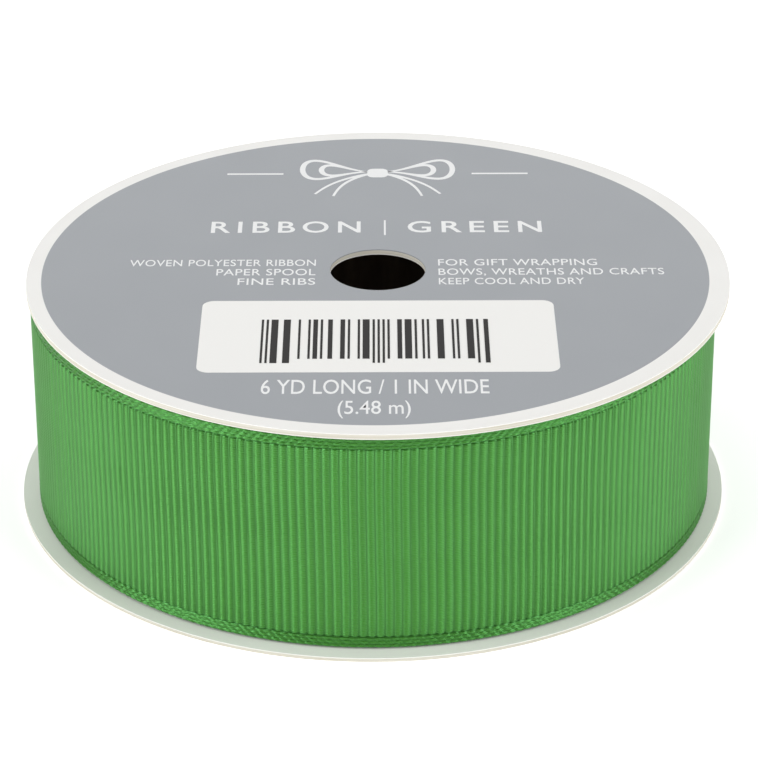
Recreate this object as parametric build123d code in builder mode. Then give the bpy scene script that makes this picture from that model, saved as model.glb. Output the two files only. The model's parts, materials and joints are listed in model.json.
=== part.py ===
"""Ribbon spool: two paperboard flanges glued to a wide paper core, wound with grosgrain ribbon.

The axis of the winding is +Z and its origin is the centre of the lower flange's resting face.
The upper flange was glued on a little to the side, and the spindle hole follows it.
The last stretch of the ribbon is cut into short hinged segments, so that the free end can peel off.
"""

import os
from math import cos, pi, radians, sin, sqrt

from build123d import *

os.makedirs("parts", exist_ok=True)

# Driving dimensions, in millimetres and degrees.
ribbon_width = 25.4
ribbon_length = 5486.0
turn_pitch = 0.42  # one turn of ribbon with the air under it
winding_radius = 39.4
lower_slack = 0.15  # under the ribbon, which has slid down to the lower flange
upper_slack = 0.45
upper_flange_radius = 40.0
lower_flange_radius = 40.9
upper_flange_shift = 0.65  # along +X, with the spindle hole in both flanges
spindle_hole_radius = 5.45
board_thickness = 0.45
lower_board_thickness = 0.35
paper_thickness = 0.1
core_ply_thickness = 0.4
start_tape_thickness = 0.08
start_tape_width = 18.0
start_tape_arc = 30.0
glue_bead_leg = 1.6
tail_root_angle = 70.0
tail_segment_arc = 20.0
tail_segment_count = 4
layer_gap = 0.02  # between the tail and the turn under it
hinge_gap = 0.1
end_tape_width = 12.0
end_tape_thickness = 0.08
end_tape_glue = 0.02
end_tape_arc_on_tail = 14.0
end_tape_arc_past_cut = 16.0
flap_end_clearance = 0.15  # under the flap's free end

# Heights of the layers, from the floor up.
lower_liner_bottom = lower_board_thickness
gap_bottom = lower_liner_bottom + paper_thickness
ribbon_bottom = gap_bottom + lower_slack
ribbon_top = ribbon_bottom + ribbon_width
gap_top = ribbon_top + upper_slack
upper_board_bottom = gap_top + paper_thickness
upper_face_bottom = upper_board_bottom + board_thickness
spool_height = upper_face_bottom + paper_thickness
core_height = gap_top - gap_bottom

# The core's radius follows from the length of ribbon wound on it as a spiral.
mean_outer_radius = winding_radius - turn_pitch / 2
mean_inner_radius = sqrt(mean_outer_radius**2 - ribbon_length * turn_pitch / pi)
winding_inner_radius = mean_inner_radius - turn_pitch / 2
core_radius = winding_inner_radius - start_tape_thickness
hinge_gap_arc = hinge_gap / winding_radius * 180 / pi
tail_end_angle = tail_root_angle + tail_segment_count * tail_segment_arc


def at(radius, angle):
    """A point in plan, from its distance to the axis and its angle in degrees."""
    return (radius * cos(radians(angle)), radius * sin(radians(angle)))


def surface_radius(angle):
    """Outside of the ribbon along its spiral. The angle counts turns, and the cut end is last."""
    return winding_radius - turn_pitch * (tail_end_angle - angle) / 360


def finish(part, name):
    """Labels a finished piece and writes its STEP file."""
    part.part.label = name
    export_step(part.part, f"parts/{name}.step")


def make_ring(name, inner_radius, outer_radius, bottom, height):
    """A flat or tall ring around the winding's axis."""
    with BuildPart() as ring:
        with BuildSketch(Plane.XY.offset(bottom)):
            Circle(outer_radius)
            Circle(inner_radius, mode=Mode.SUBTRACT)
        extrude(amount=height)
    finish(ring, name)


def make_flange_layer(name, outer_radius, shift, bottom, thickness):
    """A layer of a flange, with the spindle hole through it. The shift moves only its outline."""
    with BuildPart() as layer:
        with BuildSketch(Plane.XY.offset(bottom)):
            with Locations((shift, 0)):
                Circle(outer_radius)
            with Locations((upper_flange_shift, 0)):
                Circle(spindle_hole_radius, mode=Mode.SUBTRACT)
        extrude(amount=thickness)
    finish(layer, name)


def make_curved_strip(name, radii, thickness, start_angle, end_angle, bottom, height):
    """A strip around the axis, given its outside radius at its start, middle and end."""
    middle_angle = (start_angle + end_angle) / 2
    start_radius, middle_radius, end_radius = radii
    with BuildPart() as strip:
        with BuildSketch(Plane.XY.offset(bottom)):
            with BuildLine():
                ThreePointArc(
                    at(start_radius, start_angle),
                    at(middle_radius, middle_angle),
                    at(end_radius, end_angle),
                )
                Line(at(end_radius, end_angle), at(end_radius - thickness, end_angle))
                ThreePointArc(
                    at(end_radius - thickness, end_angle),
                    at(middle_radius - thickness, middle_angle),
                    at(start_radius - thickness, start_angle),
                )
                Line(at(start_radius - thickness, start_angle), at(start_radius, start_angle))
            make_face()
        extrude(amount=height)
    finish(strip, name)


def make_glue_bead(name, corner_height, direction):
    """A bead of hot-melt glue in the corner between the core's bore and a flange."""
    wall = core_bore_radius
    with BuildPart() as bead:
        with BuildSketch(Plane.XZ):
            with BuildLine():
                ThreePointArc(
                    (wall - glue_bead_leg, corner_height),
                    (wall - 0.35 * glue_bead_leg, corner_height + 0.35 * direction * glue_bead_leg),
                    (wall, corner_height + direction * glue_bead_leg),
                )
                Line((wall, corner_height + direction * glue_bead_leg), (wall, corner_height))
                Line((wall, corner_height), (wall - glue_bead_leg, corner_height))
            make_face()
        revolve(axis=Axis.Z)
    finish(bead, name)


# Lower flange: bare board on the floor, with a white liner towards the ribbon.
make_flange_layer("lower_flange_board", lower_flange_radius, 0, 0, lower_board_thickness)
make_flange_layer(
    "lower_inner_liner",
    lower_flange_radius,
    0,
    lower_liner_bottom,
    paper_thickness,
)

# Upper flange: liner, board and the printed face paper.
for layer_name, layer_bottom, layer_thickness in (
    ("upper_inner_liner", gap_top, paper_thickness),
    ("upper_flange_board", upper_board_bottom, board_thickness),
    ("upper_face_paper", upper_face_bottom, paper_thickness),
):
    make_flange_layer(
        layer_name,
        upper_flange_radius,
        upper_flange_shift,
        layer_bottom,
        layer_thickness,
    )

# Paper core, wound from three plies, outermost first.
ply_names = ("core_outer_ply", "core_middle_ply", "core_inner_ply")
for ply_number, ply_name in enumerate(ply_names):
    ply_outer_radius = core_radius - ply_number * core_ply_thickness
    make_ring(
        ply_name,
        ply_outer_radius - core_ply_thickness,
        ply_outer_radius,
        gap_bottom,
        core_height,
    )
core_bore_radius = core_radius - len(ply_names) * core_ply_thickness

# Glue that holds the core to the flanges.
make_glue_bead("lower_glue_bead", gap_bottom, 1)
make_glue_bead("upper_glue_bead", gap_top, -1)

# Tape that anchors the ribbon's first turn to the core.
spool_middle = (ribbon_bottom + ribbon_top) / 2
make_curved_strip(
    "ribbon_start_tape",
    (winding_inner_radius, winding_inner_radius, winding_inner_radius),
    start_tape_thickness,
    -start_tape_arc / 2,
    start_tape_arc / 2,
    spool_middle - start_tape_width / 2,
    start_tape_width,
)

# Wound ribbon: its outside is one turn of the spiral, with a step where the tail leaves it.
spiral_arcs = 12
spiral_start = tail_root_angle - 360
spiral_end = tail_root_angle - hinge_gap_arc
arc_step = (spiral_end - spiral_start) / spiral_arcs
with BuildPart() as ribbon_winding:
    with BuildSketch(Plane.XY.offset(ribbon_bottom)):
        with BuildLine():
            for arc in range(spiral_arcs):
                arc_start = spiral_start + arc * arc_step
                arc_middle = arc_start + arc_step / 2
                arc_end = arc_start + arc_step
                ThreePointArc(
                    at(surface_radius(arc_start), arc_start),
                    at(surface_radius(arc_middle), arc_middle),
                    at(surface_radius(arc_end), arc_end),
                )
            Line(
                at(surface_radius(spiral_end), spiral_end),
                at(surface_radius(spiral_start), spiral_start),
            )
        make_face()
        Circle(winding_inner_radius, mode=Mode.SUBTRACT)
    extrude(amount=ribbon_width)
finish(ribbon_winding, "ribbon_winding")

# The ribbon's free tail, in hinged segments. Each hinge is on the outer side of the ribbon.
for segment in range(tail_segment_count):
    segment_start = tail_root_angle + segment * tail_segment_arc
    segment_end = segment_start + tail_segment_arc
    if segment < tail_segment_count - 1:
        segment_end -= hinge_gap_arc
    make_curved_strip(
        f"ribbon_tail_{segment + 1}",
        (
            surface_radius(segment_start),
            surface_radius((segment_start + segment_end) / 2),
            surface_radius(segment_end),
        ),
        turn_pitch - layer_gap,
        segment_start,
        segment_end,
        ribbon_bottom,
        ribbon_width,
    )
    hinge_x, hinge_y = at(surface_radius(segment_start), segment_start)
    print("tail hinge", segment + 1, round(hinge_x, 4), round(hinge_y, 4), round(spool_middle, 4))

# Clear tape over the cut end: one half is stuck on the tail, and the other peels off the winding.
tape_start = tail_end_angle - end_tape_arc_on_tail
tape_middle = (tape_start + tail_end_angle) / 2
tape_lift = end_tape_glue + end_tape_thickness
make_curved_strip(
    "end_tape_on_tail",
    (
        surface_radius(tape_start) + tape_lift,
        surface_radius(tape_middle) + tape_lift,
        surface_radius(tail_end_angle) + tape_lift,
    ),
    end_tape_thickness,
    tape_start,
    tail_end_angle,
    spool_middle - end_tape_width / 2,
    end_tape_width,
)
flap_start = tail_end_angle + hinge_gap_arc
flap_end = tail_end_angle + end_tape_arc_past_cut
flap_start_radius = winding_radius + tape_lift
flap_end_radius = surface_radius(flap_end - 360) + flap_end_clearance + end_tape_thickness
make_curved_strip(
    "end_tape_flap",
    (flap_start_radius, (flap_start_radius + flap_end_radius) / 2, flap_end_radius),
    end_tape_thickness,
    flap_start,
    flap_end,
    spool_middle - end_tape_width / 2,
    end_tape_width,
)
flap_x, flap_y = at(flap_start_radius, flap_start)
print("tape hinge", round(flap_x, 4), round(flap_y, 4), round(spool_middle, 4))
print("spool height", spool_height, "core radius", round(core_radius, 3))
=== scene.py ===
"""Ribbon spool: looks of a printed board spool wound with ribbed green ribbon."""

import json
import math
import random

import bpy
import numpy as np
from mathutils import Euler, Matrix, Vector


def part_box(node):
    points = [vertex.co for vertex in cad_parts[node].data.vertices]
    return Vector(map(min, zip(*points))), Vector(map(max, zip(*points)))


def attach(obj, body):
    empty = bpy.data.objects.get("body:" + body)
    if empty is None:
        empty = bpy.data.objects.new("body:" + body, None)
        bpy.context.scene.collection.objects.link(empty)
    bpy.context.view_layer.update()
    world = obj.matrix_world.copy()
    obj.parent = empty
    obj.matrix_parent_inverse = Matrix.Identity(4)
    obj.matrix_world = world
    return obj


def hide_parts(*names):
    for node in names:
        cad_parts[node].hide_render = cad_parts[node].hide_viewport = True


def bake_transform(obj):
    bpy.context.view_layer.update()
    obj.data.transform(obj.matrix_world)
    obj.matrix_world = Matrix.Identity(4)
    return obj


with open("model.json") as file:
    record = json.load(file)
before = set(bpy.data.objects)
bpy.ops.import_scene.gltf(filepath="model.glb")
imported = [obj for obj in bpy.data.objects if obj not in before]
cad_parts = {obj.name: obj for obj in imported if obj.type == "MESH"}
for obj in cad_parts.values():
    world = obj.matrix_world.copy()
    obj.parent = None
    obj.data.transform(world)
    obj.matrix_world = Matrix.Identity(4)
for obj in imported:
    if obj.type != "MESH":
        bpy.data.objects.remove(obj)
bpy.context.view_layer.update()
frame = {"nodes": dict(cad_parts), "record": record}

MM = 0.001
random.seed(7)  # for the ribs' heights and the bar pattern
record = frame["record"]
joints = {joint["name"]: joint for joint in record["behaviour"]["joints"]}


# ---------------------------------------------------------------- camera
# A long lens in front of the spool, looking down on it. Metres, degrees and millimetres of lens.
CAMERA_PLACE = (0.00046, -0.3497, 0.1921)
CAMERA_PITCH = -27.11
CAMERA_YAW = -0.048
CAMERA_ROLL = -0.14
CAMERA_LENS = 160.87
CAMERA_SENSOR = 36
CAMERA_CLIP_START = 0.01

camera_data = bpy.data.cameras.new("camera")
camera_data.lens = CAMERA_LENS
camera_data.sensor_width = CAMERA_SENSOR
camera_data.clip_start = CAMERA_CLIP_START
camera = bpy.data.objects.new("camera", camera_data)
camera.location = CAMERA_PLACE
look = Euler((math.radians(90 + CAMERA_PITCH), 0, math.radians(CAMERA_YAW))).to_matrix()
roll = Euler((0, 0, math.radians(CAMERA_ROLL))).to_matrix()
camera.rotation_euler = (look @ roll).to_euler()
bpy.context.collection.objects.link(camera)
bpy.context.scene.camera = camera
bpy.context.scene.view_settings.view_transform = "Standard"


# ---------------------------------------------------------------- sizes read from the frame
low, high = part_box("ribbon_winding")
ribbon_bottom, ribbon_top = low[2], high[2]
ribbon_width = ribbon_top - ribbon_bottom
face_low, face_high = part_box("upper_face_paper")
face_top = face_high[2]
flange_x = (face_low[0] + face_high[0]) / 2
start_tape_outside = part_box("ribbon_start_tape")[1][0]
tape_low, tape_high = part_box("end_tape_flap")
tail_count = 4  # hinged segments of the ribbon's free tail
tail_joints = ["tail_peel"] + [f"tail_bend_{i}" for i in range(2, tail_count + 1)]


def polar(point):
    """Distance to the spool's axis, and angle in degrees."""
    return math.hypot(point[0], point[1]), math.degrees(math.atan2(point[1], point[0]))


first_hinge_radius, tail_root_angle = polar(joints[tail_joints[0]]["pos_m"])
last_hinge_radius, last_hinge_angle = polar(joints[tail_joints[-1]]["pos_m"])
hinges_arc = last_hinge_angle - tail_root_angle
segment_arc = hinges_arc / (tail_count - 1)
tail_end_angle = tail_root_angle + tail_count * segment_arc
turn_pitch = (last_hinge_radius - first_hinge_radius) / hinges_arc * 360


def surface_radius(angle):
    """Outside of the ribbon along its spiral, at an angle that counts turns."""
    return first_hinge_radius + turn_pitch * (angle - tail_root_angle) / 360


# ---------------------------------------------------------------- mesh helpers
def new_object(name, vertices, faces, material, smooth_under=None):
    """A mesh object. With smooth_under, edges flatter than that many degrees are smooth."""
    mesh = bpy.data.meshes.new(name)
    mesh.from_pydata(vertices, [], faces)
    mesh.validate()
    mesh.materials.append(material)
    if smooth_under:
        mesh.shade_smooth()
        mesh.set_sharp_from_angle(angle=math.radians(smooth_under))
    piece = bpy.data.objects.new(name, mesh)
    bpy.context.collection.objects.link(piece)
    return piece


def tube_faces(columns, ring):
    """Quads of a closed tube of so many columns, each a ring of points, and its two end caps."""
    faces = []
    for i in range(columns - 1):
        for j in range(ring):
            k = (j + 1) % ring
            faces.append((i * ring + j, (i + 1) * ring + j, (i + 1) * ring + k, i * ring + k))
    faces.append(tuple(range(ring)))
    faces.append(tuple(reversed(range((columns - 1) * ring, columns * ring))))
    return faces


# ---------------------------------------------------------------- material helpers
class Nodes:
    """A short way to write a node material."""

    def __init__(self, name):
        self.material = bpy.data.materials.new(name)
        self.material.use_nodes = True
        self.tree = self.material.node_tree
        self.shader = self.tree.nodes["Principled BSDF"]

    def node(self, kind, inputs=None, **settings):
        made = self.tree.nodes.new(kind)
        for key, value in settings.items():
            setattr(made, key, value)
        for key, value in (inputs or {}).items():
            self.set(made.inputs[key], value)
        return made

    def set(self, socket, value):
        if isinstance(value, bpy.types.NodeSocket):
            self.tree.links.new(value, socket)
        else:
            socket.default_value = value

    def shade(self, **values):
        for key, value in values.items():
            self.set(self.shader.inputs[key.replace("_", " ")], value)

    def math(self, operation, a, b=0.0, c=0.0, clamp=False):
        inputs = {0: a, 1: b, 2: c}
        return self.node("ShaderNodeMath", inputs, operation=operation, use_clamp=clamp).outputs[0]

    def position(self):
        return self.node("ShaderNodeTexCoord").outputs["Object"]

    def noise(self, scale, detail, stretch=None):
        place = self.position()
        if stretch:
            place = self.node("ShaderNodeMapping", {"Vector": place, "Scale": stretch}).outputs[0]
        made = self.node("ShaderNodeTexNoise", {"Vector": place, "Scale": scale, "Detail": detail})
        return made.outputs["Fac"]

    def ramp(self, factor, *two_stops):
        made = self.node("ShaderNodeValToRGB", {"Fac": factor})
        for element, (place, color) in zip(made.color_ramp.elements, two_stops):
            element.position = place
            element.color = (*color, 1)
        return made.outputs["Color"]

    def gray(self, value):
        """A color with one value in all three channels."""
        return self.node("ShaderNodeCombineColor", {0: value, 1: value, 2: value}).outputs[0]

    def mix(self, factor, a, b, blend="MIX"):
        made = self.node("ShaderNodeMix", data_type="RGBA", blend_type=blend)
        for index, value in ((0, factor), (6, a), (7, b)):
            if isinstance(value, tuple) and len(value) == 3:
                value = (*value, 1)
            self.set(made.inputs[index], value)
        return made.outputs[2]

    def bump(self, height, strength, distance):
        made = self.node(
            "ShaderNodeBump", {"Height": height, "Strength": strength, "Distance": distance}
        )
        self.set(self.shader.inputs["Normal"], made.outputs["Normal"])


def ribbon_material():
    """Satin polyester: ribs with fine threads running over them. Its colour is lighter on the crests
    and darker towards the grooves, painted shade there and between the threads.
    """
    m = Nodes("ribbon_grosgrain")
    crest = m.node("ShaderNodeAttribute", attribute_name="crest").outputs["Fac"]
    weave_map = m.node("ShaderNodeUVMap", uv_map="weave").outputs[0]
    along, across = m.node("ShaderNodeSeparateXYZ", {0: weave_map}).outputs[:2]
    rib_side = m.math("MULTIPLY", m.math("FLOOR", along), math.pi)
    wave = m.math("SINE", m.math("ADD", m.math("MULTIPLY", across, 2 * math.pi), rib_side))
    thread = m.math("MULTIPLY_ADD", wave, 0.5, 0.5)
    patch = m.noise(90, 3)
    flecks = m.noise(2600, 2)
    # The groove colour below is painted shade, far darker than the ribbon's own green.
    painted_groove_shade = m.mix(patch, (0.012, 0.044, 0.002), (0.019, 0.058, 0.003))
    light = m.mix(flecks, (0.040, 0.180, 0.010), (0.064, 0.235, 0.020))
    # Towards the grooves the colour goes over to the painted shade.
    color = m.mix(m.math("POWER", crest, 1.6), painted_groove_shade, light)
    shadow = m.gray(m.math("MULTIPLY_ADD", thread, 0.22, 0.82))
    color = m.mix(1.0, color, shadow, "MULTIPLY")
    m.shade(Base_Color=color, Roughness=0.36, Sheen_Weight=0.2, Sheen_Roughness=0.4)
    m.shade(Sheen_Tint=(0.3, 1.0, 0.45, 1), IOR=2.0, Specular_IOR_Level=0.8)
    m.shade(Specular_Tint=(0.30, 1.0, 0.30, 1))
    threads = m.node("ShaderNodeTangent", direction_type="RADIAL", axis="Z").outputs[0]
    m.shade(Anisotropic=0.8, Anisotropic_Rotation=0.25, Tangent=threads)
    m.bump(m.math("MULTIPLY", thread, crest), 1.0, 0.06 * MM)
    return m.material


def paper_material(name, color, speck):
    """Bare paper: faint mottling, fibres and an uneven surface."""
    m = Nodes(name)
    mottle = m.noise(140, 5)
    fibres = m.noise(900, 3, (1, 0.25, 1))
    color = m.mix(mottle, color, speck)
    color = m.mix(m.math("MULTIPLY", fibres, 0.25), color, speck)
    m.shade(Base_Color=color, Specular_IOR_Level=0.4)
    m.shade(Roughness=m.math("ADD", m.math("MULTIPLY", mottle, 0.15), 0.5))
    m.bump(fibres, 0.15, 0.02 * MM)
    return m.material


PRINT_RADIUS = 38.0 * MM
PRINT_EDGE = 0.04 * MM
PRINT_X = flange_x - 0.3 * MM  # the grey disc is a little off the flange's centre
INK_GREY = (0.304, 0.322, 0.345)
PAPER_WHITE = (0.87, 0.865, 0.84)
INK_WHITE = (0.86, 0.865, 0.865)


def face_material():
    """White coated paper with a grey disc printed on it, grainy and a little mottled."""
    m = Nodes("printed_face")
    spot = m.node("ShaderNodeSeparateXYZ", {0: m.position()})
    x = m.math("SUBTRACT", spot.outputs[0], PRINT_X)
    y = spot.outputs[1]
    radius = m.math("SQRT", m.math("ADD", m.math("MULTIPLY", x, x), m.math("MULTIPLY", y, y)))
    inside = m.math("MULTIPLY", m.math("SUBTRACT", PRINT_RADIUS, radius), 1 / PRINT_EDGE, clamp=True)
    mottle = m.noise(160, 5)
    grain = m.noise(5200, 2)
    grey = m.mix(mottle, INK_GREY, tuple(c * 1.05 for c in INK_GREY))
    grey = m.mix(m.math("MULTIPLY", grain, 0.16), grey, tuple(c * 0.72 for c in INK_GREY))
    white = m.mix(mottle, PAPER_WHITE, (0.835, 0.825, 0.795))
    m.shade(Base_Color=m.mix(inside, white, grey), Specular_IOR_Level=0.5)
    m.shade(Roughness=m.math("ADD", m.math("MULTIPLY", mottle, 0.12), 0.36))
    m.bump(m.noise(700, 3), 0.08, 0.02 * MM)
    return m.material


def board_material():
    """Solid bleached board: cream at its cut edge, with thin layers and fibres."""
    m = Nodes("cream_board")
    layers = m.noise(500, 4, (0.15, 0.15, 12))
    mottle = m.noise(220, 4)
    color = m.ramp(layers, (0.3, (0.60, 0.565, 0.47)), (0.7, (0.73, 0.71, 0.64)))
    color = m.mix(m.math("MULTIPLY", mottle, 0.35), color, (0.52, 0.48, 0.38))
    m.shade(Base_Color=color, Roughness=0.75, Specular_IOR_Level=0.25)
    m.bump(layers, 0.4, 0.05 * MM)
    return m.material


def kraft_material():
    """Brown core paper with upright fibres. Its dark tone is partly its own and partly painted shade,
    which keeps the inside of the hole black.
    """
    m = Nodes("kraft_core")
    fibres = m.noise(600, 5, (1, 1, 0.2))
    color = m.ramp(fibres, (0.3, (0.085, 0.06, 0.04)), (0.75, (0.17, 0.125, 0.085)))
    m.shade(Base_Color=color, Roughness=0.85)
    m.bump(fibres, 0.4, 0.05 * MM)
    return m.material


def glue_material():
    """Hot-melt glue: cloudy, uneven and a little glossy."""
    m = Nodes("hot_melt_glue")
    cloud = m.noise(260, 4)
    color = m.ramp(cloud, (0.3, (0.62, 0.56, 0.40)), (0.7, (0.82, 0.78, 0.66)))
    m.shade(Base_Color=color, Roughness=0.35, Subsurface_Weight=0.2, Subsurface_Scale=0.001)
    m.bump(cloud, 0.6, 0.3 * MM)
    return m.material


def tape_material():
    """Clear tape with faint stretch marks."""
    m = Nodes("clear_tape")
    marks = m.noise(400, 3, (1, 1, 0.1))
    color = m.ramp(marks, (0.3, (0.80, 0.84, 0.82)), (0.7, (0.93, 0.95, 0.94)))
    m.shade(Base_Color=color, Alpha=0.28)
    m.shade(Roughness=m.math("ADD", m.math("MULTIPLY", marks, 0.2), 0.08))
    m.bump(marks, 0.1, 0.03 * MM)
    return m.material


def ink_material(name, color, grain_color, gloss=0.5):
    """Printed ink with a faint grain."""
    m = Nodes(name)
    grain = m.noise(3800, 3)
    color = m.mix(m.math("MULTIPLY", grain, 0.3), color, grain_color)
    m.shade(Base_Color=color, Roughness=0.42, Specular_IOR_Level=gloss)
    return m.material


RIBBON = ribbon_material()
CLEAR_TAPE = tape_material()
WHITE_INK = ink_material("white_ink", INK_WHITE, (0.62, 0.63, 0.64))
PANEL_INK = ink_material("panel_white", PAPER_WHITE, (0.80, 0.79, 0.76))
DARK_INK = ink_material("dark_ink", (0.010, 0.008, 0.008), (0.022, 0.018, 0.017), gloss=0.1)

for node, material in {
    "upper_face_paper": face_material(),
    "upper_flange_board": board_material(),
    "upper_inner_liner": paper_material("upper_liner", (0.84, 0.83, 0.79), (0.78, 0.77, 0.72)),
    # The lower liner is the same paper as the upper one, painted lighter: painted light on the ring
    # under the upper flange's overhang.
    "lower_inner_liner": paper_material("lower_liner_painted_light", (0.90, 0.90, 0.87), (0.85, 0.85, 0.81)),
    "lower_flange_board": board_material(),
    "core_outer_ply": kraft_material(),
    "core_middle_ply": kraft_material(),
    "core_inner_ply": kraft_material(),
    "lower_glue_bead": glue_material(),
    "upper_glue_bead": glue_material(),
    "ribbon_start_tape": CLEAR_TAPE,
}.items():
    for slot in frame["nodes"][node].material_slots:
        slot.material = material


# ---------------------------------------------------------------- ribbon
RIBS_PER_TURN = 264
COLUMNS_PER_RIB = 8
RIB_DEPTH = 0.23 * MM
RIB_LEAN = 0.09  # how far a rib wanders from its line, in ribs
RIB_POWER = 0.6  # under 1, so that crests are broad and grooves are narrow
SELVAGE_WIDTH = 1.3 * MM
STITCH_ROW = 0.43 * MM
STITCH_DEPTH = 0.15 * MM
STITCH_SLANT = 0.55  # sideways lean of a stitch over its row, in ribs
SEAM_HALF_WIDTH = 0.13 * MM
SEAM_DEPTH = 0.04 * MM
SEAM_DOT_DEPTH = 0.08 * MM
ROUND_EDGE_WIDTH = 0.14 * MM
ROUND_EDGE_DEPTH = 0.12 * MM
DEEPEST = 0.3 * MM
RIBBON_THICKNESS = turn_pitch - 0.06 * MM
# These two set how much of the ribs' painted groove shade the back and the inner turns get; the inner
# turns get more.
BACK_CREST = 0.5  # how light the back of the ribbon is, from groove 0 to crest 1
INNER_CREST = 0.4  # and the turns under the outermost one
INNER_STEPS_PER_TURN = 60
THREADS_ACROSS = 121
SELVAGE_ROWS = [0, 0.05, 0.12, 0.22, 0.32, 0.43, 0.54, 0.65]  # millimetres from the edge
SELVAGE_ROWS += [0.75, 0.86, 0.97, 1.08, 1.18, 1.29, 1.4, 1.52]
BODY_ROWS = 10
rib_arc = 360 / RIBS_PER_TURN
rib_heights = np.array([random.uniform(0.86, 1.0) for _ in range(3 * RIBS_PER_TURN)])


def row_heights():
    """Rows across the ribbon, close together in its two selvages."""
    edge = np.array(SELVAGE_ROWS) * MM
    body = np.linspace(edge[-1], ribbon_width - edge[-1], BODY_ROWS + 2)[1:-1]
    return np.concatenate([edge, body, ribbon_width - edge[::-1]])


def weave(rib, height):
    """Depth of the woven surface under its crests, and how near each point is to a crest.

    Ribs are counted along the ribbon and lean a little. The selvage is rows of stitches, set
    half a rib apart, with a dotted seam between it and the ribs.
    """
    lean = RIB_LEAN * np.sin(height / ribbon_width * 5.1 + rib * 0.021)
    bumps = np.abs(np.sin(np.pi * (rib + lean))) ** RIB_POWER
    number = np.floor(rib + lean).astype(int) % len(rib_heights)
    crest = bumps * rib_heights[number]
    from_edge = np.minimum(height, ribbon_width - height)
    row = from_edge / STITCH_ROW
    row_number = np.floor(row + 1e-6)
    row_part = row - row_number
    phase = rib + 0.5 * (row_number % 2) + STITCH_SLANT * row_part
    stitch = np.abs(np.sin(np.pi * row_part)) ** 0.5 * np.abs(np.sin(np.pi * phase)) ** RIB_POWER
    in_selvage = from_edge < SELVAGE_WIDTH - 1e-7
    # This value also sets the ribbon's colour: low values get the painted shade of the grooves and of
    # the gaps between stitches.
    value = np.where(in_selvage, 0.4 + 0.55 * stitch, crest)
    depth = np.where(in_selvage, STITCH_DEPTH * (1 - stitch), RIB_DEPTH * (1 - crest))
    seam = np.exp(-(((from_edge - SELVAGE_WIDTH) / SEAM_HALF_WIDTH) ** 2))
    dots = 0.45 + 0.55 * np.cos(2 * np.pi * rib)
    depth = depth + seam * (SEAM_DEPTH + SEAM_DOT_DEPTH * dots)
    value = value * (1 - seam * (0.35 + 0.5 * np.clip(dots, 0, 1)))
    round_edge = np.clip(1 - from_edge / ROUND_EDGE_WIDTH, 0, 1)
    depth = depth + round_edge**2 * ROUND_EDGE_DEPTH
    return np.minimum(depth, DEEPEST), value


def set_crest(mesh, values):
    """Stores for each vertex how near it is to a crest, for the ribbon's material, which paints shade
    where it is low.
    """
    layer = mesh.attributes.new("crest", "FLOAT", "POINT")
    layer.data.foreach_set("value", values)


def ribbon_strip(name, first_rib, last_rib):
    """The ribbon between two ribs, counted from the tail's root, as a closed strip with its weave."""
    columns = round((last_rib - first_rib) * COLUMNS_PER_RIB) + 1
    ribs = np.linspace(first_rib, last_rib, columns)
    rows = row_heights()
    rib, height = np.meshgrid(ribs, rows, indexing="ij")
    depth, crest = weave(rib, height)
    angle = tail_root_angle + rib * rib_arc
    radius = surface_radius(angle) - depth
    back_rows = np.array([rows[-1], rows[0]])
    back_rib, back_height = np.meshgrid(ribs, back_rows, indexing="ij")
    back_angle = tail_root_angle + back_rib * rib_arc
    radius = np.concatenate([radius, surface_radius(back_angle) - RIBBON_THICKNESS], axis=1)
    angle = np.radians(np.concatenate([angle, back_angle], axis=1))
    height = np.concatenate([height, back_height], axis=1)
    crest = np.concatenate([crest, np.full(back_rib.shape, BACK_CREST)], axis=1)
    rib = np.concatenate([rib, back_rib], axis=1)
    points = np.stack([radius * np.cos(angle), radius * np.sin(angle), ribbon_bottom + height], axis=2)
    faces = tube_faces(columns, points.shape[1])
    piece = new_object(name, points.reshape(-1, 3).tolist(), faces, RIBBON, smooth_under=75)
    mesh = piece.data
    set_crest(mesh, crest.reshape(-1).astype(np.float32))
    corner = np.empty(len(mesh.loops), dtype=np.int32)
    mesh.loops.foreach_get("vertex_index", corner)
    flat = np.stack([rib.reshape(-1), height.reshape(-1) / ribbon_width * THREADS_ACROSS], axis=1)
    layer = mesh.uv_layers.new(name="weave")
    layer.data.foreach_set("uv", flat[corner].reshape(-1).astype(np.float32))
    return piece


def inner_turns(name, last_rib):
    """All turns under the outermost one, as one plain strip on its spiral."""
    end_angle = tail_root_angle + last_rib * rib_arc
    first_radius = start_tape_outside + turn_pitch
    turns = (surface_radius(end_angle) - first_radius) / turn_pitch
    steps = int(turns * INNER_STEPS_PER_TURN)
    points = []
    for step in range(steps + 1):
        angle = end_angle - turns * 360 * (1 - step / steps)
        radius = surface_radius(angle)
        a = math.radians(angle)
        for r, z in (
            (radius, ribbon_bottom),
            (radius, ribbon_top),
            (radius - RIBBON_THICKNESS, ribbon_top),
            (radius - RIBBON_THICKNESS, ribbon_bottom),
        ):
            points.append((r * math.cos(a), r * math.sin(a), z))
    piece = new_object(name, points, tube_faces(steps + 1, 4), RIBBON, smooth_under=40)
    set_crest(piece.data, [INNER_CREST] * len(points))
    piece.data.uv_layers.new(name="weave")
    return piece


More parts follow.
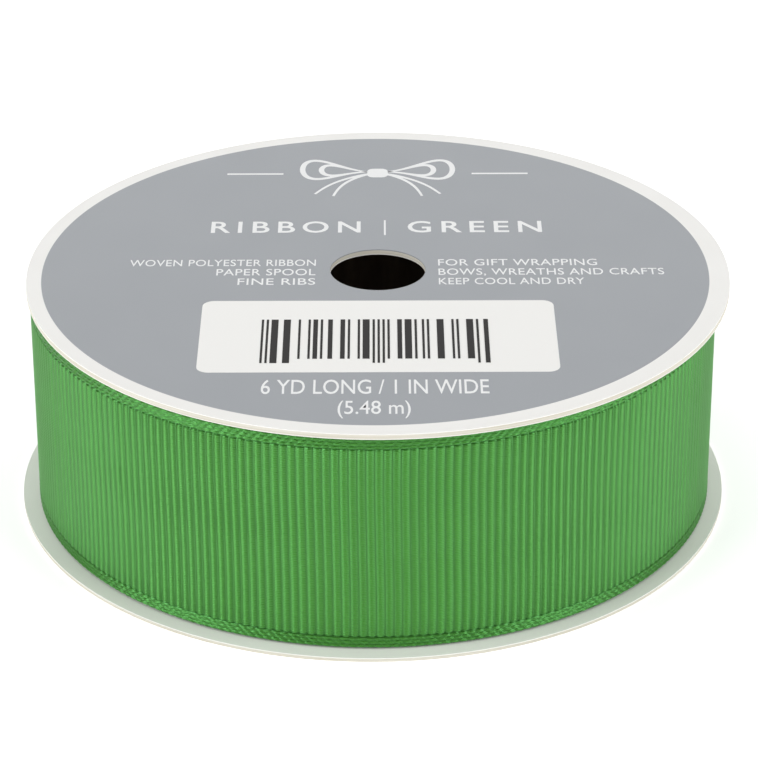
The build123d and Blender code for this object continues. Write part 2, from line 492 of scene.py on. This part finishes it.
# The cloth is cut in grooves, counted in ribs from the tail's root. Each cut between two hinges
# comes after the bend of the first, and no later than the second.
first_rib = -RIBS_PER_TURN
tail_cuts = [-9, 14, 29, 44, tail_count * segment_arc / rib_arc]
wound = inner_turns("ribbon_inner_turns", first_rib)
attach(wound, "spool")
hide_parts("ribbon_winding")
outer = ribbon_strip("ribbon_outer_turn", first_rib, tail_cuts[0])
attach(outer, "spool")
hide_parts("ribbon_winding")
for index in range(tail_count):
    part = ribbon_strip(f"ribbon_tail_cloth_{index + 1}", tail_cuts[index], tail_cuts[index + 1])
    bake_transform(part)
    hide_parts(f"ribbon_tail_{index + 1}")


# ---------------------------------------------------------------- tape on the cut end
TAPE_THICKNESS = 0.05 * MM
TAPE_OVER_RIBBON = 0.03 * MM
TAPE_ARC_ON_TAIL = 14
TAPE_ARC_PAST_CUT = 16
TAPE_STEP_ARC = 2.2  # over which the tape steps down from the tail to the turn under it
TAPE_COLUMNS = 41
TAPE_TEETH = 12
TOOTH_ARC = 0.35


def tape_point(part, row, rows, side):
    """A point of the tape, from its part of the length, its row and its side of the film."""
    start = tail_end_angle - TAPE_ARC_ON_TAIL
    end = tail_end_angle + TAPE_ARC_PAST_CUT
    tooth = (TOOTH_ARC if row % 2 else -TOOTH_ARC) * (2 * abs(part - 0.5)) ** 6
    angle = start + (end - start) * part + tooth * (1 if part > 0.5 else -1)
    past = min(max((angle - tail_end_angle) / TAPE_STEP_ARC, 0), 1)
    past = past * past * (3 - 2 * past)
    radius = surface_radius(angle) - turn_pitch * past + TAPE_OVER_RIBBON + side
    a = math.radians(angle)
    z = tape_low[2] + (tape_high[2] - tape_low[2]) * row / (rows - 1)
    return (radius * math.cos(a), radius * math.sin(a), z)


def tape_strip(name):
    """Clear tape over the cut end, with a toothed cut at both of its ends."""
    rows = TAPE_TEETH * 2 + 1
    points = []
    for column in range(TAPE_COLUMNS):
        part = column / (TAPE_COLUMNS - 1)
        points += [tape_point(part, row, rows, TAPE_THICKNESS) for row in range(rows)]
        points += [tape_point(part, row, rows, 0) for row in reversed(range(rows))]
    return new_object(name, points, tube_faces(TAPE_COLUMNS, rows * 2), CLEAR_TAPE, smooth_under=60)


tape = tape_strip("end_tape_film")
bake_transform(tape)
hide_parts("end_tape_on_tail", "end_tape_flap")


# ---------------------------------------------------------------- print on the upper flange
# Places of the print are in millimetres from the flange's centre.
INK_THICKNESS = 0.008 * MM
INK_GAP = 0.002 * MM  # between the paper and the ink, so that they share no face
OVERLAP_STEP = 0.0006 * MM  # later strokes lie this much higher, so none share a face
CAPITAL_OF_FONT = 0.7  # height of the font's capitals at size 1


def add_strip(points, faces, sides, bottom, top):
    """A thin plate between the two sides of a pen stroke, added to points and faces as quads."""
    start, count = len(points), len(sides[0])
    for left, right in zip(*sides):
        for x, y, z in ((*left, bottom), (*right, bottom), (*right, top), (*left, top)):
            points.append((flange_x + x * MM, y * MM, z))
    faces += [tuple(start + i for i in face) for face in tube_faces(count, 4)]


def add_plate(points, faces, outline, bottom, top):
    """A thin plate inside a closed outline, added to points and faces."""
    start, count = len(points), len(outline)
    points += [(flange_x + x * MM, y * MM, bottom) for x, y in outline]
    points += [(flange_x + x * MM, y * MM, top) for x, y in outline]
    faces.append(tuple(start + i for i in reversed(range(count))))
    faces.append(tuple(start + count + i for i in range(count)))
    for i in range(count):
        k = (i + 1) % count
        faces.append((start + i, start + k, start + count + k, start + count + i))


def print_piece(name, shapes, material, level=1):
    """Flat ink: shapes in plan, as thin plates on the face paper or on the ink below them."""
    bottom = face_top + (level - 1) * INK_THICKNESS + INK_GAP
    top = bottom + INK_THICKNESS
    points, faces = [], []
    for add_shape, outline in shapes:
        top += OVERLAP_STEP
        add_shape(points, faces, outline, bottom, top)
    piece = new_object(name, points, faces, material)
    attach(piece, "spool")
    return piece


def print_text(name, lines, weight):
    """Lines of plain type: (words, left, right, baseline, capital height, letter spacing).

    The letters are stretched to reach from left to right. weight thickens their strokes.
    """
    top = face_top + INK_GAP + INK_THICKNESS
    points, faces = [], []
    for words, left, right, baseline, capital, spacing in lines:
        data = bpy.data.curves.new(name, "FONT")
        data.body = words
        data.size = 1
        data.space_character = spacing
        data.offset = weight
        data.resolution_u = 4
        holder = bpy.data.objects.new(name, data)
        bpy.context.collection.objects.link(holder)
        bpy.context.view_layer.update()
        mesh = bpy.data.meshes.new_from_object(holder)
        bpy.data.objects.remove(holder)
        low_x = min(vertex.co.x for vertex in mesh.vertices)
        high_x = max(vertex.co.x for vertex in mesh.vertices)
        start = len(points)
        for vertex in mesh.vertices:
            x = left + (vertex.co.x - low_x) / (high_x - low_x) * (right - left)
            y = baseline + vertex.co.y / CAPITAL_OF_FONT * capital
            points.append((flange_x + x * MM, y * MM, top))
        faces += [tuple(start + i for i in polygon.vertices) for polygon in mesh.polygons]
    piece = new_object(name, points, faces, WHITE_INK)
    solid = piece.modifiers.new("ink", "SOLIDIFY")
    solid.thickness = INK_THICKNESS
    solid.offset = -1
    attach(piece, "spool")
    return piece


def rectangle(left, right, bottom, top):
    """A shape for print_piece: how it is added, and its outline."""
    return add_plate, [(left, bottom), (right, bottom), (right, top), (left, top)]


def rounded_rectangle(left, right, bottom, top, radius):
    """A shape for print_piece, with round corners."""
    corner_steps = 6
    outline = []
    for cx, cy, first in (
        (right - radius, bottom + radius, -90),
        (right - radius, top - radius, 0),
        (left + radius, top - radius, 90),
        (left + radius, bottom + radius, 180),
    ):
        for step in range(corner_steps + 1):
            a = math.radians(first + 90 * step / corner_steps)
            outline.append((cx + radius * math.cos(a), cy + radius * math.sin(a)))
    return add_plate, outline


def stroke(path, width):
    """A pen stroke along a path, for print_piece. width is a function from 0 to 1 along it."""
    left, right = [], []
    last = len(path) - 1
    for i, (x, y) in enumerate(path):
        ahead = path[min(i + 1, last)]
        behind = path[max(i - 1, 0)]
        dx, dy = ahead[0] - behind[0], ahead[1] - behind[1]
        size = math.hypot(dx, dy)
        half = width(i / last) / 2
        left.append((x - dy / size * half, y + dx / size * half))
        right.append((x + dy / size * half, y - dx / size * half))
    return add_strip, [left, right]


def bow_loop(side, center_y, tall, wide):
    """One loop of the bow: out from the knot and back, widest in the pen at its far end."""
    steps = 48
    ends_apart = 0.16
    knot_x, knot_y = 0.9, 0.5
    reach, swing, rise = 8.2 * wide, 3.6 * tall, 0.9 * wide
    path = []
    for step in range(steps + 1):
        a = ends_apart + (2 * math.pi - 2 * ends_apart) * step / steps
        out = math.sin(a / 2)
        x = knot_x + reach * out**1.1
        y = center_y + knot_y + swing * math.sin(a) * out + rise * out
        path.append((side * x, y))
    return stroke(path, lambda t: 0.32 + 0.35 * math.sin(math.pi * t))


def bow_tail(side, center_y, spread, drop):
    """One hanging end of the bow, thinner towards its tip."""
    steps = 24
    knot_x, bulge = 0.7, 0.8
    path = []
    for step in range(steps + 1):
        t = step / steps
        x = knot_x + spread * t + bulge * math.sin(math.pi * t)
        path.append((side * x, center_y - drop * t**1.3))
    return stroke(path, lambda t: 0.5 - 0.2 * t)


def bow(center_y):
    """A plain bow drawn in line, two loops and two ends a side with a knot, between two rules."""
    rule_near, rule_far, rule_half = 11.4, 18.2, 0.2
    shapes = []
    for side in (-1, 1):
        shapes.append(bow_loop(side, center_y, tall=1.0, wide=1.0))
        shapes.append(bow_loop(side, center_y, tall=0.55, wide=0.72))
        shapes.append(bow_tail(side, center_y, spread=6.8, drop=6.0))
        shapes.append(bow_tail(side, center_y, spread=4.6, drop=6.6))
        left, right = sorted((side * rule_near, side * rule_far))
        shapes.append(rectangle(left, right, center_y - rule_half, center_y + rule_half))
    shapes.append(rounded_rectangle(-1.25, 1.25, center_y - 1.1, center_y + 1.5, 0.8))
    return shapes


def bar_code():
    """A made-up bar pattern that codes nothing: bars of 1 to 3 modules between guard bars."""
    module, ink_share = 0.272, 0.94
    pattern_modules, long_modules = 94, 10  # the bars at both ends are as long as the guard bars
    left, top, bottom, guard_bottom = -12.85, -12.95, -22.6, -23.6
    bars = []
    place = 0
    while place < pattern_modules:
        guard = place in (0, 2) or 45 <= place <= 49 or place > pattern_modules - 3
        width = 1 if guard else random.choice((1, 1, 2, 3))
        gap = 1 if guard else random.choice((1, 1, 2, 3))
        x = left + place * module
        long = guard or place < long_modules or place > pattern_modules - long_modules
        low_end = guard_bottom if long else bottom
        bars.append(rectangle(x, x + width * module * ink_share, low_end, top))
        place += width + gap
    return bars


print_piece("print_bow", bow(27.2), WHITE_INK)
print_text(
    "print_title",
    [("RIBBON", -19.5, -2.0, 10.2, 3.1, 1.35), ("GREEN", 3.5, 19.2, 10.2, 3.1, 1.35)],
    weight=0.012,
)
print_piece("print_divider", [rectangle(0.72, 0.94, 9.4, 13.6)], WHITE_INK)
print_text(
    "print_small_left",
    [
        ("WOVEN POLYESTER RIBBON", -28.4, -7.1, 1.05, 1.7, 1.05),
        ("PAPER SPOOL", -18.4, -7.1, -1.45, 1.7, 1.05),
        ("FINE RIBS", -15.9, -7.1, -3.95, 1.7, 1.05),
    ],
    weight=0.004,
)
print_text(
    "print_small_right",
    [
        ("FOR GIFT WRAPPING", 6.9, 25.1, 1.05, 1.7, 1.05),
        ("BOWS, WREATHS AND CRAFTS", 6.9, 32.6, -1.45, 1.7, 1.05),
        ("KEEP COOL AND DRY", 6.9, 23.4, -3.95, 1.7, 1.05),
    ],
    weight=0.004,
)
print_piece("print_panel", [rounded_rectangle(-19.6, 19.6, -25.8, -8.15, 1.3)], PANEL_INK)
print_piece("print_bars", bar_code(), DARK_INK, level=3)
print_text(
    "print_length",
    [
        ("6 YD LONG / 1 IN WIDE", -12.5, 11.8, -30.8, 3.3, 1.0),
        ("(5.48 m)", -4.3, 3.4, -35.4, 3.0, 1.0),
    ],
    weight=0.004,
)


# ---------------------------------------------------------------- stage and light
SPOOL_MIDDLE = (0, 0, 0.014)
FLOOR_HALF = 1.5
FLOOR_DROP = 0.02 * MM  # the floor lies this far under the spool, so that they share no face


def floor():
    """A plain pale floor with a little light of its own, which keeps it white."""
    m = Nodes("studio_floor")
    color = m.ramp(m.noise(3, 2), (0.2, (0.93, 0.93, 0.93)), (0.8, (0.95, 0.95, 0.95)))
    m.shade(Base_Color=color, Roughness=0.9)
    m.shade(Emission_Color=(1, 1, 1, 1), Emission_Strength=0.36)
    signs = ((-1, -1), (1, -1), (1, 1), (-1, 1))
    corners = [(x * FLOOR_HALF, y * FLOOR_HALF, 0) for x, y in signs]
    made = new_object("floor", corners, [(0, 1, 2, 3)], m.material)
    made.location.z = -FLOOR_DROP


def softbox(name, place, size, power):
    """A rectangular light that faces the middle of the spool."""
    data = bpy.data.lights.new(name, "AREA")
    data.shape = "RECTANGLE"
    data.size, data.size_y = size
    data.energy = power
    light = bpy.data.objects.new(name, data)
    light.location = place
    direction = np.array(SPOOL_MIDDLE) - np.array(place)
    pitch = math.atan2(math.hypot(direction[0], direction[1]), -direction[2])
    light.rotation_euler = (pitch, 0, math.atan2(direction[1], direction[0]) - math.pi / 2)
    bpy.context.collection.objects.link(light)


floor()
softbox("top_light", (0, 0.15, 0.9), (0.9, 0.9), power=1.95)
softbox("left_light", (-0.66, -0.36, 0.34), (0.6, 0.6), power=4.3)
softbox("right_light", (0.66, -0.36, 0.34), (0.6, 0.6), power=3.8)
softbox("back_light", (0, 0.8, 0.35), (0.9, 0.35), power=1.6)

world = bpy.data.worlds.new("studio")
world.use_nodes = True
background = world.node_tree.nodes["Background"].inputs
background["Color"].default_value = (1, 1, 1, 1)
background["Strength"].default_value = 0.3
bpy.context.scene.world = world
